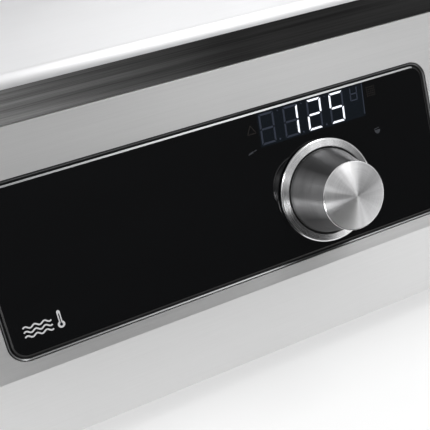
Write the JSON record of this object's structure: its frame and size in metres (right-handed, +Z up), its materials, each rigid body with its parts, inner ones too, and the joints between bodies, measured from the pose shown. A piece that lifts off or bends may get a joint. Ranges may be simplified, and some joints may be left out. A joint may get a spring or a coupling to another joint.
{
  "type": "sous vide circulator",
  "caption": "Bench-top circulating water bath in brushed steel, with a sloped glass control panel, rotary knob and digital display, hinged lid and rear drain tap.",
  "frame": {"origin": "on the bench, under the middle of the bounding box", "axes": "+Z up; the control panel faces -Y; +X is to the right of someone facing the panel"},
  "size_m": [0.43, 0.5606, 0.2465],
  "materials": {
    "brushed_steel": "brushed across the width",
    "dark_steel": "dark brushed",
    "tank_steel": "satin deep-drawn",
    "plain_steel": "plain",
    "tube_steel": "satin polished",
    "spun_steel": "spun, brushed in circles",
    "heater_steel": "heat-tinted",
    "nickel": "nickel plated",
    "aluminium": "extruded",
    "brass": "turned",
    "black_glass": "gloss black, back-painted",
    "black_seal": "smooth",
    "rubber": "matt moulded",
    "insulation": "needled ceramic felt",
    "circuit_board": "solder mask",
    "dark_plastic": "moulded",
    "knob_plastic": "satin graphite",
    "grip_plastic": "fine grain",
    "pale_plastic": "moulded",
    "red_plastic": "gloss",
    "green_plastic": "moulded",
    "relay_plastic": "moulded",
    "capacitor_sleeve": "shrink sleeve",
    "winding_core": "varnished laminations",
    "motor_paint": "textured paint"
  },
  "bodies": {
    "housing": {"front_panel": "brushed_steel", "outer_casing": "brushed_steel", "base_plate": "plain_steel", "rubber_feet": "rubber", "trim_band": "dark_steel", "top_deck": "brushed_steel", "bath_tank": "tank_steel", "tank_insulation": "insulation", "false_floor": "tank_steel", "heater_element": "heater_steel", "heater_glands": "brass", "glass_panel": "black_glass", "panel_seal": "black_seal", "glass_carrier": "plain_steel", "control_board": "circuit_board", "display_module": "dark_plastic", "encoder_body": "plain_steel", "power_board": "circuit_board", "transformer": "winding_core", "capacitors": "capacitor_sleeve", "power_relays": "relay_plastic", "heat_sink": "aluminium", "terminal_block": "green_plastic", "fan_frame": "dark_plastic", "pump_motor": "motor_paint", "shaft_seal": "rubber", "pump_housing": "dark_plastic", "temperature_probe": "tank_steel", "level_switch_stem": "tank_steel", "drain_elbow": "brass", "drain_valve_body": "nickel", "mains_inlet": "dark_plastic", "power_switch_frame": "dark_plastic", "limit_thermostat": "dark_plastic", "bonding_stud": "brass", "side_handles": "tube_steel", "hinge_brackets": "tube_steel", "hinge_pins": "plain_steel", "casing_screws": "plain_steel"},
    "knob_rotor": {"encoder_rotor": "pale_plastic"},
    "knob": {"knob_shaft": "plain_steel", "knob_skirt": "spun_steel", "knob_ring": "black_seal", "knob_body": "knob_plastic", "knob_cap": "spun_steel"},
    "fan": {"fan_rotor": "dark_plastic"},
    "pump_rotor": {"pump_shaft": "plain_steel", "pump_impeller": "pale_plastic"},
    "float": {"level_float": "pale_plastic"},
    "drain_valve": {"drain_ball": "nickel", "drain_lever": "red_plastic"},
    "rocker": {"power_rocker": "red_plastic"},
    "reset": {"reset_button": "red_plastic"},
    "lid": {"lid_pan": "brushed_steel", "lid_seal": "rubber", "lid_hinge_arms": "tube_steel", "lid_handle_posts": "tube_steel", "lid_handle_grip": "grip_plastic"}
  },
  "joints": [
    {"name": "knob_turn", "type": "hinge", "parent": "housing", "child": "knob_rotor", "pos_m": [0.0505, -0.24868, 0.10491], "axis": [0, -0.866, 0.5], "continuous": true},
    {"name": "knob_push", "type": "slide", "parent": "knob_rotor", "child": "knob", "axis": [0, 0.866, -0.5], "range_m": [0, 0.001], "stiffness_N_per_m": 1500, "springref_m": -0.002},
    {"name": "lid_hinge", "type": "hinge", "parent": "housing", "child": "lid", "pos_m": [0, 0.21652, 0.20051], "axis": [-1, 0, 0], "range_deg": [0, 100]},
    {"name": "pump_spin", "type": "hinge", "parent": "housing", "child": "pump_rotor", "pos_m": [-0.088, -0.11048, 0.104], "axis": [0, 1, 0], "continuous": true},
    {"name": "fan_spin", "type": "hinge", "parent": "housing", "child": "fan", "pos_m": [0.112, -0.17568, 0.0175], "axis": [0, 0, 1], "continuous": true},
    {"name": "float_lift", "type": "slide", "parent": "housing", "child": "float", "axis": [0, 0, 1], "range_m": [0, 0.012]},
    {"name": "drain_turn", "type": "hinge", "parent": "housing", "child": "drain_valve", "pos_m": [0.09, 0.24532, 0.029], "axis": [0, 0, 1], "range_deg": [0, 90]},
    {"name": "rocker_tilt", "type": "hinge", "parent": "housing", "child": "rocker", "pos_m": [-0.072, 0.23132, 0.092], "axis": [1, 0, 0], "range_deg": [-16, 0]},
    {"name": "reset_press", "type": "slide", "parent": "housing", "child": "reset", "axis": [0, -1, 0], "range_m": [0, 0.0015], "stiffness_N_per_m": 400, "springref_m": -0.001}
  ]
}
